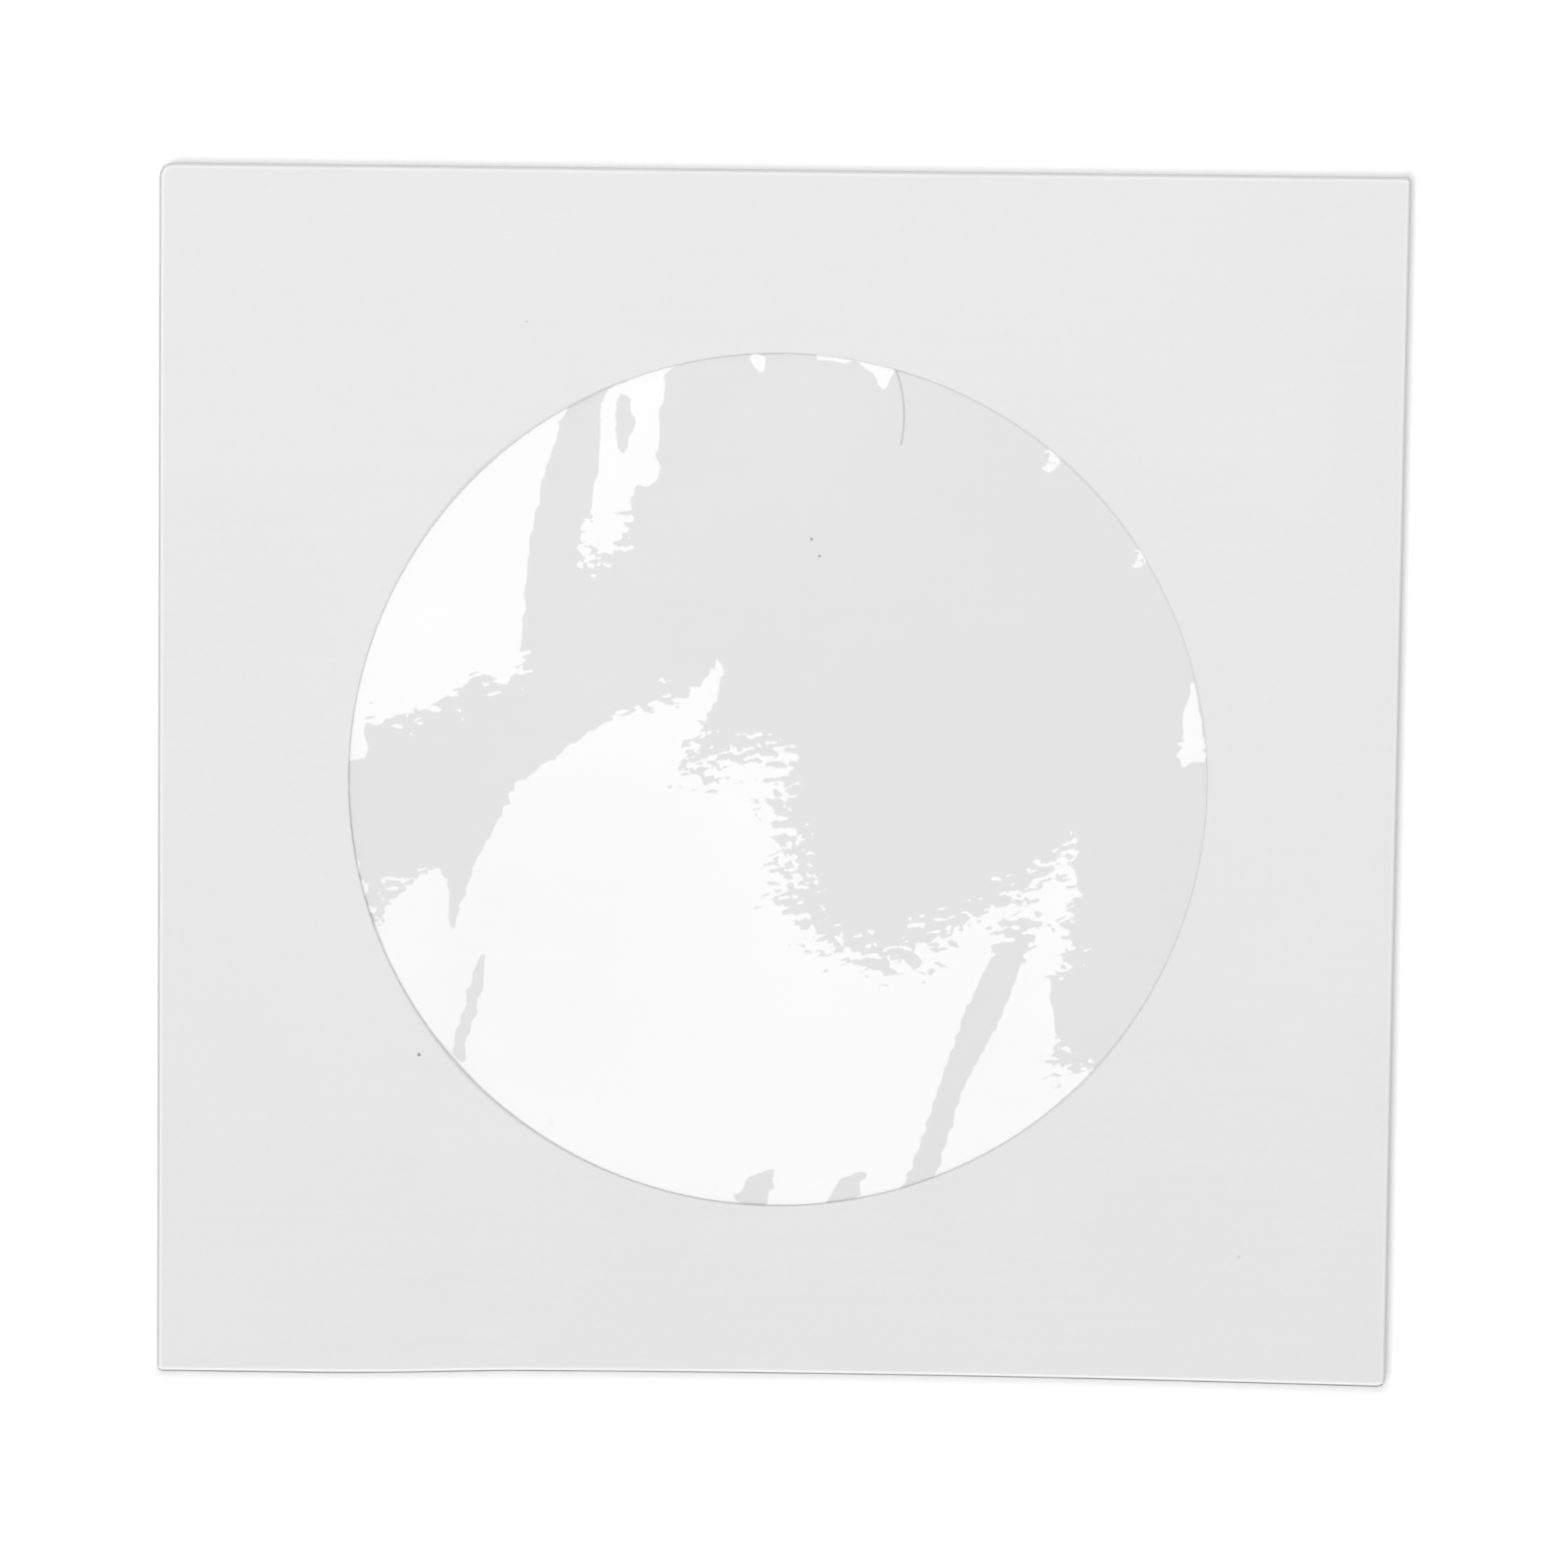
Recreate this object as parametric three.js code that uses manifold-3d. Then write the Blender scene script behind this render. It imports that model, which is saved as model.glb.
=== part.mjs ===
// A paper sleeve for one disc: an envelope folded from a single blank, with a round window of clear film.
// Lengths are in millimetres. The sleeve lies on its back: the window faces up (+Z), and the fold of the
// closing flap is towards +Y. The origin is the middle of the base.
import * as THREE from "three";
import { mergeVertices } from "three/addons/utils/BufferGeometryUtils.js";
import Module from "manifold-3d";

const wasm = await Module();
wasm.setup();

// Driving dimensions: the outside of the folded envelope
const sleeveWidth = 127;
const sleeveHeight = 124.6;
const paperThickness = 0.12;

// Driving dimensions: the window and its film
const windowRadius = 44;
const windowRise = -0.3;
const filmThickness = 0.04;
const filmMargin = 5;
const filmSag = 0.24;
const rippleStart = 1.5;
const rippleFade = 9;

// Driving dimensions: the pocket, which is open at the throat under the closing flap
const discThickness = 1.2;
const discClearance = 0.05;
const throatDepth = 8;
const throatCornerRadius = 3;

// Driving dimensions: folds, seam flaps and closing flap
const foldReach = 0.45;
const cornerRelief = 0.5;
const seamFlapWidth = 12;
const seamFlapTaper = 7;
const backInset = 0.9;
const flapGap = 0.2;
const flapDepth = 38;
const flapTaper = 9;
const flapCornerRadius = 8;

// How finely curves and the film are divided
const curveSteps = 72;
const foldSteps = 6;
const filmCells = 44;
const foldOverlap = 0.6;
const gridPerMillimetre = 10000;

// Heights of the layers, from the surface that the sleeve lies on
const backBottom = paperThickness + flapGap;
const seamBottom = backBottom + paperThickness;
const pocketFloor = seamBottom + paperThickness;
const pocketTop = pocketFloor + discThickness + discClearance;
const filmBottom = pocketTop + filmSag;
const faceBottom = filmBottom + filmThickness;
const faceTop = faceBottom + paperThickness;

// Edges of the flat part of the panels, where the folds begin
const flatHalfWidth = sleeveWidth / 2 - foldReach;
const flatHalfHeight = sleeveHeight / 2 - foldReach;

// Ripples of the film: depth is each one's share of the sag, and length is from crest to crest
const ripples = [
  { share: 0.42, length: 61, heading: 25, phase: 40 },
  { share: 0.25, length: 34, heading: 118, phase: 205 },
  { share: 0.18, length: 23, heading: 71, phase: 310 },
  { share: 0.15, length: 17, heading: 158, phase: 95 },
];

const paper = new THREE.MeshStandardMaterial({ color: 0xe9e9e8, roughness: 0.9, metalness: 0 });
const film = new THREE.MeshStandardMaterial({
  color: 0xf4f6f7,
  roughness: 0.06,
  metalness: 0,
  transparent: true,
  opacity: 0.2,
});

// A closed geometry with its vertices on a fine grid, so that faces at one height meet exactly
function closed(geometry) {
  const bare = geometry.clone();
  bare.deleteAttribute("normal");
  bare.deleteAttribute("uv");
  const numbers = bare.getAttribute("position").array;
  for (let i = 0; i < numbers.length; i += 1) {
    numbers[i] = Math.round(numbers[i] * gridPerMillimetre) / gridPerMillimetre;
  }
  return mergeVertices(bare, 1 / gridPerMillimetre);
}

function solidOf(geometry) {
  const merged = closed(geometry);
  const vertProperties = new Float32Array(merged.getAttribute("position").array);
  const triVerts = new Uint32Array(merged.getIndex().array);
  return new wasm.Manifold(new wasm.Mesh({ numProp: 3, vertProperties, triVerts }));
}

function geometryOf(solid) {
  const { vertProperties, triVerts } = solid.getMesh();
  const geometry = new THREE.BufferGeometry();
  geometry.setAttribute("position", new THREE.BufferAttribute(vertProperties, 3));
  geometry.setIndex(new THREE.BufferAttribute(triVerts, 1));
  geometry.computeVertexNormals();
  return geometry;
}

// A flat panel of paper with its underside at the given height
function panel(outline, bottom) {
  const geometry = new THREE.ExtrudeGeometry(outline, {
    depth: paperThickness,
    bevelEnabled: false,
    curveSegments: curveSteps / 2,
  });
  return geometry.translate(0, 0, bottom);
}

// A folded edge: paper that turns from one layer down to another, and ends inside both of them
function fold({ heading, edge, bottom, length }) {
  const rise = (faceTop - bottom) / 2;
  const section = new THREE.Shape();
  section.moveTo(-foldOverlap, 0);
  section.lineTo(0, 0);
  section.absellipse(0, rise, foldReach, rise, -Math.PI / 2, Math.PI / 2, false);
  section.lineTo(-foldOverlap, 2 * rise);
  section.lineTo(-foldOverlap, 2 * rise - paperThickness);
  section.lineTo(0, 2 * rise - paperThickness);
  const innerReach = foldReach - paperThickness;
  const innerRise = rise - paperThickness;
  section.absellipse(0, rise, innerReach, innerRise, Math.PI / 2, -Math.PI / 2, true);
  section.lineTo(-foldOverlap, paperThickness);
  const geometry = new THREE.ExtrudeGeometry(section, {
    depth: length,
    bevelEnabled: false,
    curveSegments: foldSteps,
  });
  geometry.rotateX(Math.PI / 2);
  geometry.translate(edge, length / 2, bottom);
  return geometry.rotateZ(THREE.MathUtils.degToRad(heading));
}

// An outline that is the same on both sides of the Y axis, from the corners of its right half
function mirroredOutline(rightSide) {
  const outline = new THREE.Shape();
  const left = rightSide.toReversed();
  const [first, ...rest] = rightSide;
  outline.moveTo(first.x, first.y);
  for (const corner of rest) {
    turnCorner(outline, corner, corner.before, corner.after);
  }
  for (const corner of left) {
    const mirrored = { x: -corner.x, y: corner.y };
    turnCorner(outline, mirrored, mirror(corner.after), mirror(corner.before));
  }
  outline.closePath();
  return outline;
}

function mirror(point) {
  return point && { x: -point.x, y: point.y };
}

// A line to a corner, rounded where the corner says where its curve begins and ends
function turnCorner(outline, corner, from, to) {
  if (from && to) {
    outline.lineTo(from.x, from.y);
    outline.quadraticCurveTo(corner.x, corner.y, to.x, to.y);
  } else {
    outline.lineTo(corner.x, corner.y);
  }
}

// A corner rounded over a length of the edges that meet in it
function rounded(x, y, radius, towardsStart, towardsEnd) {
  const corner = new THREE.Vector2(x, y);
  const startwards = new THREE.Vector2(towardsStart.x - x, towardsStart.y - y).setLength(radius);
  const endwards = new THREE.Vector2(towardsEnd.x - x, towardsEnd.y - y).setLength(radius);
  return { x, y, before: corner.clone().add(startwards), after: corner.clone().add(endwards) };
}

// The face, with the round window
function facePanel() {
  const outline = mirroredOutline([
    { x: flatHalfWidth, y: -flatHalfHeight },
    { x: flatHalfWidth, y: flatHalfHeight },
  ]);
  const hole = new THREE.Path();
  hole.absarc(0, windowRise, windowRadius, 0, 2 * Math.PI, true);
  outline.holes.push(hole);
  return panel(outline, faceBottom);
}

// The back, from the bottom fold up to the throat
function backPanel() {
  const side = sleeveWidth / 2 - backInset;
  const throat = sleeveHeight / 2 - throatDepth;
  const below = { x: side, y: -flatHalfHeight };
  const middle = { x: 0, y: throat };
  return panel(
    mirroredOutline([below, rounded(side, throat, throatCornerRadius, below, middle)]),
    backBottom,
  );
}

// The closing flap, folded down from the face's top edge onto the back
function closingFlap() {
  const root = { x: sleeveWidth / 2 - cornerRelief, y: flatHalfHeight };
  const tipX = root.x - flapTaper;
  const tipY = sleeveHeight / 2 - flapDepth;
  const middle = { x: 0, y: tipY };
  return panel(mirroredOutline([root, rounded(tipX, tipY, flapCornerRadius, root, middle)]), 0);
}

// One of the two seam flaps, folded in from the face's sides and glued inside the back
function seamFlap(side) {
  const halfLength = sleeveHeight / 2 - cornerRelief;
  const inner = flatHalfWidth - seamFlapWidth;
  const outline = new THREE.Shape();
  outline.moveTo(side * flatHalfWidth, -halfLength);
  outline.lineTo(side * flatHalfWidth, halfLength);
  outline.lineTo(side * inner, halfLength - seamFlapTaper);
  outline.lineTo(side * inner, -halfLength + seamFlapTaper);
  outline.closePath();
  return panel(outline, seamBottom);
}

function paperEnvelope() {
  const acrossLength = sleeveWidth - 2 * cornerRelief;
  const alongLength = sleeveHeight - 2 * cornerRelief;
  const backWidth = sleeveWidth - 2 * backInset;
  const parts = [
    facePanel(),
    backPanel(),
    closingFlap(),
    seamFlap(1),
    seamFlap(-1),
    fold({ heading: 0, edge: flatHalfWidth, bottom: seamBottom, length: alongLength }),
    fold({ heading: 180, edge: flatHalfWidth, bottom: seamBottom, length: alongLength }),
    fold({ heading: 90, edge: flatHalfHeight, bottom: 0, length: acrossLength }),
    fold({ heading: 270, edge: flatHalfHeight, bottom: backBottom, length: backWidth }),
  ];
  const solid = parts.map(solidOf).reduce((joined, next) => joined.add(next));
  const mesh = new THREE.Mesh(geometryOf(solid), paper);
  mesh.name = "paper_envelope";
  return mesh;
}

// How far the film hangs below its glued border: 0 at the window's edge, up to filmSag inside
function rippleDepth(x, y) {
  const inside = windowRadius - rippleStart - Math.hypot(x, y);
  const fade = THREE.MathUtils.smoothstep(inside, 0, rippleFade);
  let depth = 0;
  for (const { share, length, heading, phase } of ripples) {
    const angle = THREE.MathUtils.degToRad(heading);
    const along = x * Math.cos(angle) + y * Math.sin(angle);
    const turn = (2 * Math.PI * along) / length + THREE.MathUtils.degToRad(phase);
    depth += (share * (1 - Math.cos(turn))) / 2;
  }
  return filmSag * fade * depth;
}

// The film, glued flat under the face all round the window and slightly rippled inside it
function windowFilm() {
  const side = 2 * (windowRadius + filmMargin);
  const box = new THREE.BoxGeometry(side, side, filmThickness, filmCells, filmCells, 1);
  const positions = box.getAttribute("position");
  for (let i = 0; i < positions.count; i += 1) {
    const depth = rippleDepth(positions.getX(i), positions.getY(i));
    positions.setZ(i, positions.getZ(i) - depth);
  }
  box.translate(0, windowRise, filmBottom + filmThickness / 2);
  const geometry = closed(box);
  geometry.computeVertexNormals();
  const mesh = new THREE.Mesh(geometry, film);
  mesh.name = "window_film";
  return mesh;
}

const sleeve = new THREE.Group();
sleeve.add(paperEnvelope());
sleeve.add(windowFilm());

export default sleeve;
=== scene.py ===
"""A paper sleeve for one disc, with a round window of clear film, lying face up under soft studio light.

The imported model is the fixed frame. The paper is rebuilt here as one thin folded sheet, and the film as a
thin sheet whose gentle waves come from where it mirrors the softbox. Lengths are in millimetres and become
metres where a mesh, a lamp or the camera is made."""

import math

import bmesh
import bpy
import numpy as np
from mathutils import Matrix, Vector, noise


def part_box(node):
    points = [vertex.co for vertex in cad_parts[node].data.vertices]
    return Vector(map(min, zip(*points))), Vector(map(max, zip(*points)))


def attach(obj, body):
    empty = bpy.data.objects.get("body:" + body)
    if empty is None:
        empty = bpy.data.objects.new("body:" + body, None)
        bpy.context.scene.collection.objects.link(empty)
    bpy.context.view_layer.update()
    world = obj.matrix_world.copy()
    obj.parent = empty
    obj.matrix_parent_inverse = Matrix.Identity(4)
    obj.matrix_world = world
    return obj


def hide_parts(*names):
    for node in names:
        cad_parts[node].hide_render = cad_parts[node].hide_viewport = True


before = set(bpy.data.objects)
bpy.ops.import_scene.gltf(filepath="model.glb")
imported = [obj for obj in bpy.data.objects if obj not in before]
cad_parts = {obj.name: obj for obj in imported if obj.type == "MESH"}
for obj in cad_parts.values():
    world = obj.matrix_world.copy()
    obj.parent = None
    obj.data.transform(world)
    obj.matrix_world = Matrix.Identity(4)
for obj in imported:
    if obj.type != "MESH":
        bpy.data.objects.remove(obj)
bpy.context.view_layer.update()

MM = 0.001
PHOTO_PIXELS = 1569


# Sizes, from the frame where the frame has them


def box_mm(node):
    """A CAD node's lowest and highest corners, in millimetres."""
    low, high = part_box(node)
    return [value / MM for value in low], [value / MM for value in high]


(_, _, BASE), (HALF_WIDTH, HALF_HEIGHT, FACE_TOP) = box_mm("paper_envelope")
(_, film_low_y, _), (FILM_HALF, film_high_y, FILM_TOP) = box_mm("window_film")
WINDOW_Y = (film_low_y + film_high_y) / 2
PAPER = FACE_TOP - FILM_TOP
FILM = 0.04
FILM_MARGIN = 5.0
WINDOW_RADIUS = FILM_HALF - FILM_MARGIN

FOLD_REACH = 0.45
CORNER_RELIEF = 0.5
BACK_INSET = 0.9
FLAP_GAP = 0.2
FLAP_DEPTH = 38.0
FLAP_TAPER = 9.0
FLAP_CORNER = 8.0
THROAT_DEPTH = 8.0
THROAT_CORNER = 3.0
SEAM_FLAP_WIDTH = 12.0
SEAM_FLAP_TAPER = 7.0
GLUE_LINE = 0.012

FLAT_X = HALF_WIDTH - FOLD_REACH
FLAT_Y = HALF_HEIGHT - FOLD_REACH

# Heights of the middle of each layer of paper
FACE_Z = FACE_TOP - PAPER / 2
FLAP_Z = BASE + PAPER / 2
BACK_Z = BASE + PAPER + FLAP_GAP + PAPER / 2
SEAM_Z = BACK_Z + PAPER + GLUE_LINE


# The camera, where the photograph's perspective puts it

CAMERA_PLACE = (6.08, 74.8, FACE_TOP + 696.2)
CAMERA_TILT = -6.152
CAMERA_PAN = 0.523
CAMERA_ROLL = 0.734
CAMERA_LENS = 157.15
SENSOR = 36.0


def make_camera():
    data = bpy.data.cameras.new("camera")
    data.lens = CAMERA_LENS
    data.sensor_width = SENSOR
    data.clip_start = 0.01
    data.clip_end = 20
    camera = bpy.data.objects.new("camera", data)
    camera.location = [value * MM for value in CAMERA_PLACE]
    camera.rotation_mode = "YXZ"
    camera.rotation_euler = [math.radians(a) for a in (CAMERA_TILT, CAMERA_PAN, CAMERA_ROLL)]
    bpy.context.scene.collection.objects.link(camera)
    bpy.context.scene.camera = camera
    bpy.context.view_layer.update()
    return camera


camera = make_camera()


def on_film(pixel):
    """Where a pixel of the photograph falls on the film, in millimetres from the window's middle."""
    across = (pixel[0] / PHOTO_PIXELS - 0.5) * SENSOR
    up = (0.5 - pixel[1] / PHOTO_PIXELS) * SENSOR
    ray = camera.matrix_world.to_3x3() @ Vector((across, up, -CAMERA_LENS))
    start = Vector(CAMERA_PLACE)
    reach = (FILM_TOP - start.z) / ray.z
    point = start + ray * reach
    return point.x, point.y - WINDOW_Y


# The softbox: a level rectangle far above, whose straight near edge the film mirrors

SOFTBOX_HEADING = 230.0
SOFTBOX_HEIGHT = 2800.0
SOFTBOX_REACH = 2000.0
SOFTBOX_LENGTH = 2000.0
SOFTBOX_RADIANCE = 3.5
SOFTBOX_TOWARDS = (math.cos(math.radians(SOFTBOX_HEADING)), math.sin(math.radians(SOFTBOX_HEADING)))

CAMERA_HEIGHT = CAMERA_PLACE[2] - FILM_TOP
LAMP_RATIO = SOFTBOX_HEIGHT / CAMERA_HEIGHT
CAMERA_ALONG = (
    CAMERA_PLACE[0] * SOFTBOX_TOWARDS[0] + (CAMERA_PLACE[1] - WINDOW_Y) * SOFTBOX_TOWARDS[1]
)
SOFTBOX_EDGE = -LAMP_RATIO * CAMERA_ALONG


# The film's waves

# Where the film leans so that it mirrors the softbox (1) or not (-1). The outlines are in pixels of the
# photograph, and later ones lie over earlier ones.
LEANS = (
    (
        1,
        "upper left",
        ((590, 340), (570, 405), (546, 480), (528, 560), (521, 620), (516, 668), (500, 676), (478, 671)),
        ((432, 708), (402, 711), (366, 726), (362, 757), (320, 760), (300, 400)),
    ),
    (
        1,
        "upper middle",
        ((594, 350), (600, 395), (598, 455), (590, 500), (580, 558), (577, 571), (600, 552), (620, 538)),
        ((636, 490), (655, 478), (668, 380), (692, 340)),
    ),
    (-1, "upper slit", ((619, 394), (617, 430), (621, 458), (630, 428), (627, 397))),
    (1, "top tooth", ((724, 310), (757, 378), (788, 310))),
    (1, "top crescent", ((830, 320), (838, 361), (866, 370), (884, 396), (898, 376), (890, 320))),
    (1, "right rim", ((1240, 640), (1192, 680), (1180, 722), (1177, 778), (1194, 768), (1240, 772))),
    (
        1,
        "lower",
        ((320, 935), (378, 932), (405, 892), (440, 870), (447, 925), (455, 932), (480, 860), (520, 786)),
        ((560, 755), (620, 715), (690, 697), (727, 655), (716, 700), (690, 745), (683, 775), (735, 762)),
        ((800, 748), (772, 800), (790, 870), (780, 915), (830, 955), (900, 975), (950, 935), (1040, 885)),
        ((1078, 835), (1082, 870), (1068, 950), (1050, 1000), (1060, 1078), (1092, 1068), (1150, 1110)),
        ((900, 1320), (600, 1320), (280, 1100)),
    ),
    (
        -1,
        "right strip",
        ((1045, 912), (1012, 920), (965, 1010), (940, 1080), (900, 1190), (888, 1240), (925, 1240)),
        ((938, 1180), (968, 1090), (1000, 1030)),
    ),
    (
        -1,
        "left strip",
        ((491, 950), (472, 968), (458, 1015), (446, 1058), (425, 1110), (462, 1110)),
        ((466, 1060), (482, 1005)),
    ),
    (-1, "bottom wedge", ((700, 1250), (730, 1203), (749, 1176), (781, 1166), (771, 1203), (762, 1250))),
    (-1, "second wedge", ((800, 1250), (823, 1203), (843, 1176), (871, 1169), (859, 1203), (848, 1250))),
)

# How far the face sinks in the middle, and the film's edge lies under the face's
FACE_SAG = 0.6
RIM_SLACK = 0.05

# The grid for the film's heights, and how many rounds and steps the least squares take
WAVE_CELL = 0.6
WAVE_ROUNDS = 60
WAVE_STEPS = 25

# The slope past the mirror's threshold, for each millimetre inside a lean and at most
WAVE_LEAN = 0.004
WAVE_LEAN_LIMIT = 0.006
WAVE_TENSION = 0.0004
WAVE_STIFFNESS = 0.0002

# How far beyond the window the slopes still count, from where the film is held back towards level, and
# where the glue fixes it
SEEN_MARGIN = 0.8
HOLD_MARGIN = 0.8
HOLD_STRENGTH = 0.01
GLUE_GAP = 2.1

# How far round a place the film's lowest point is looked for
WAVE_NEIGHBOUR = 1.0
NEIGHBOUR_INSET = 0.98


def lean_edges(groups):
    """The closed outline of one lean, as pairs of points on the film."""
    points = [on_film(pixel) for group in groups for pixel in group]
    return list(zip(points, points[1:] + points[:1]))


def distance_inside(x, y, edges):
    """How far each point is inside an outline, and less than 0 where it is outside."""
    nearest = np.full(x.shape, 1e9)
    inside = np.zeros(x.shape, bool)
    for (ax, ay), (bx, by) in edges:
        along_x, along_y = bx - ax, by - ay
        share = ((x - ax) * along_x + (y - ay) * along_y) / (along_x**2 + along_y**2)
        share = share.clip(0, 1)
        nearest = np.minimum(nearest, np.hypot(x - ax - share * along_x, y - ay - share * along_y))
        if ay != by:
            crosses = (ay > y) != (by > y)
            inside ^= crosses & (x < ax + (y - ay) * along_x / along_y)
    return np.where(inside, nearest, -nearest)


# Where the film is crumpled as well: a pixel of the photograph, how many pixels it reaches, how strongly
CRUMPLES = (
    ((735, 790), 85, 1.3),
    ((785, 870), 80, 1.2),
    ((840, 935), 85, 1.5),
    ((905, 950), 75, 1.4),
    ((1000, 905), 60, 0.9),
    ((1060, 865), 55, 0.9),
    ((1072, 950), 70, 0.7),
    ((605, 545), 50, 0.4),
    ((420, 700), 75, 0.7),
    ((500, 680), 45, 0.7),
    ((405, 905), 60, 0.6),
    ((1190, 770), 60, 0.8),
    ((1070, 1075), 45, 0.8),
    ((650, 700), 60, 0.4),
)

# How far from the softbox's mirrored edge crumples are full and end, how far they shift that edge and at
# what size, and how crumpled the rest of the film is
CRUMPLE_BAND = (1.2, 4.6)
RAGGED = 1.1
RAGGED_SIZE = 2.6
RAGGED_SEEDS = (1.5, 8.5)
FILM_CALM = 0.03


def falling(value, full, none):
    """1 up to full, smoothly down to 0 at none."""
    share = np.clip((none - value) / (none - full), 0, 1)
    return share * share * (3 - 2 * share)


def crumpled_here(x, y):
    """How strongly the film is crumpled round each point."""
    pixel = abs(on_film((1, 0))[0] - on_film((0, 0))[0])
    most = np.zeros(x.shape)
    for place, reach, strength in CRUMPLES:
        centre_x, centre_y = on_film(place)
        away = np.hypot(x - centre_x, y - centre_y)
        most = np.maximum(most, strength * falling(away, reach * pixel * 0.5, reach * pixel))
    return most


def uneven(x, y, seed):
    """Smooth noise over the film, about -0.5 to 0.5."""
    points = zip((x / RAGGED_SIZE).ravel().tolist(), (y / RAGGED_SIZE).ravel().tolist())
    return np.array([noise.noise(Vector((px, py, seed))) for px, py in points]).reshape(x.shape)


def crumpling(x, y):
    """How finely crumpled the film is: most where the mirrored softbox ends, inside the CRUMPLES."""
    return crumpled_here(x, y) * falling(np.abs(wanted_mirror(x, y)), *CRUMPLE_BAND)


def wanted_mirror(x, y):
    """The distance to where the mirrored softbox should end: above 0 where the film should mirror it, below 0
    elsewhere. The outlines are made ragged where the film is crumpled."""
    ragged = RAGGED * crumpled_here(x, y)
    seed_x, seed_y = RAGGED_SEEDS
    x, y = x + ragged * uneven(x, y, seed_x), y + ragged * uneven(x, y, seed_y)
    wanted = np.full(x.shape, -1e9)
    for sign, _, *groups in LEANS:
        inside = distance_inside(x, y, lean_edges(groups))
        wanted = np.maximum(wanted, inside) if sign > 0 else np.minimum(wanted, -inside)
    return wanted


class Waves:
    """The film's height inside the window: a smooth surface, fixed where the glue begins outside the window,
    whose slope towards the softbox is past the mirror's threshold where LEANS say so, and short of it
    elsewhere."""

    def __init__(self):
        count = 2 * math.ceil((WINDOW_RADIUS + GLUE_GAP + 1) / WAVE_CELL) + 1
        self.start = -(count - 1) / 2 * WAVE_CELL
        line = self.start + np.arange(count) * WAVE_CELL
        x, y = np.meshgrid(line, line)
        radius = np.hypot(x, y)
        self.free = (radius < WINDOW_RADIUS + GLUE_GAP).astype(float)
        self.seen = (radius < WINDOW_RADIUS + SEEN_MARGIN).astype(float)
        self.held = (radius > WINDOW_RADIUS + HOLD_MARGIN) * HOLD_STRENGTH
        along = x * SOFTBOX_TOWARDS[0] + y * SOFTBOX_TOWARDS[1]
        threshold = (1 + LAMP_RATIO) * along / (2 * SOFTBOX_HEIGHT)
        wanted = wanted_mirror(x, y)
        margin = np.clip(wanted * WAVE_LEAN, -WAVE_LEAN_LIMIT, WAVE_LEAN_LIMIT)
        self.height = np.zeros(x.shape)
        for _ in range(WAVE_ROUNDS):
            past = threshold - self.slope(self.height)
            goal = np.where(margin > 0, np.maximum(past, margin), np.minimum(past, margin))
            self.relax((threshold - goal) * self.seen)

    def slope(self, height):
        """The slope towards the softbox."""
        across = np.zeros_like(height)
        upward = np.zeros_like(height)
        across[:, 1:-1] = (height[:, 2:] - height[:, :-2]) / (2 * WAVE_CELL)
        upward[1:-1] = (height[2:] - height[:-2]) / (2 * WAVE_CELL)
        return SOFTBOX_TOWARDS[0] * across + SOFTBOX_TOWARDS[1] * upward

    def slope_back(self, slope):
        """The transpose of slope, for the least squares."""
        back = np.zeros_like(slope)
        across = SOFTBOX_TOWARDS[0] * slope[:, 1:-1] / (2 * WAVE_CELL)
        upward = SOFTBOX_TOWARDS[1] * slope[1:-1] / (2 * WAVE_CELL)
        back[:, 2:] += across
        back[:, :-2] -= across
        back[2:] += upward
        back[:-2] -= upward
        return back

    def curve(self, height):
        """The sum of the two curvatures."""
        total = -4 * height
        total[1:] += height[:-1]
        total[:-1] += height[1:]
        total[:, 1:] += height[:, :-1]
        total[:, :-1] += height[:, 1:]
        return total / WAVE_CELL**2

    def pull(self, height):
        """What the least squares multiply the heights by."""
        curve = self.curve(height)
        smooth = WAVE_STIFFNESS * self.curve(curve) - WAVE_TENSION * curve + self.held * height
        return self.free * (self.slope_back(self.slope(height) * self.seen) + smooth)

    def relax(self, target):
        """Moves the heights towards the target slope, by conjugate gradients."""
        rest = self.free * self.slope_back(target) - self.pull(self.height)
        step = rest.copy()
        size = (rest * rest).sum()
        for _ in range(WAVE_STEPS):
            pulled = self.pull(step)
            share = size / (step * pulled).sum()
            self.height += share * step
            rest -= share * pulled
            left = (rest * rest).sum()
            if left < 1e-14:
                break
            step = rest + left / size * step
            size = left

    def at(self, x, y):
        """The film's height over the level that the face sinks to."""
        return self.raw(x, y) - RIM_SLACK

    def rim(self, x, y):
        """The solved height at the window's edge, in the direction of each point."""
        inward = WINDOW_RADIUS / np.maximum(np.hypot(x, y), 1e-6)
        return self.raw(x * inward, y * inward)

    def under(self, x, y):
        """The height of the film's underside round a place, or at the window's edge beyond it."""
        inward = np.minimum(1, WINDOW_RADIUS / np.maximum(np.hypot(x, y), 1e-6))
        lowest = self.at(x * inward, y * inward)
        for step_x, step_y in ((1, 0), (-1, 0), (0, 1), (0, -1)):
            beside_x = x * inward * NEIGHBOUR_INSET + step_x * WAVE_NEIGHBOUR
            beside_y = y * inward * NEIGHBOUR_INSET + step_y * WAVE_NEIGHBOUR
            lowest = np.minimum(lowest, self.at(beside_x, beside_y))
        return FILM_TOP - FACE_SAG - FILM + lowest

    def raw(self, x, y):
        """The solved heights at any points, by a cubic through the grid's nearest sixteen values."""
        column = (x - self.start) / WAVE_CELL
        row = (y - self.start) / WAVE_CELL
        first_column = np.floor(column).astype(int)
        first_row = np.floor(row).astype(int)
        last = self.height.shape[0] - 1
        total = np.zeros_like(x)
        for j, weight_j in enumerate(cubic_weights(row - first_row)):
            for i, weight_i in enumerate(cubic_weights(column - first_column)):
                value = self.height[
                    (first_row + j - 1).clip(0, last), (first_column + i - 1).clip(0, last)
                ]
                total += weight_j * weight_i * value
        return total


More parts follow.
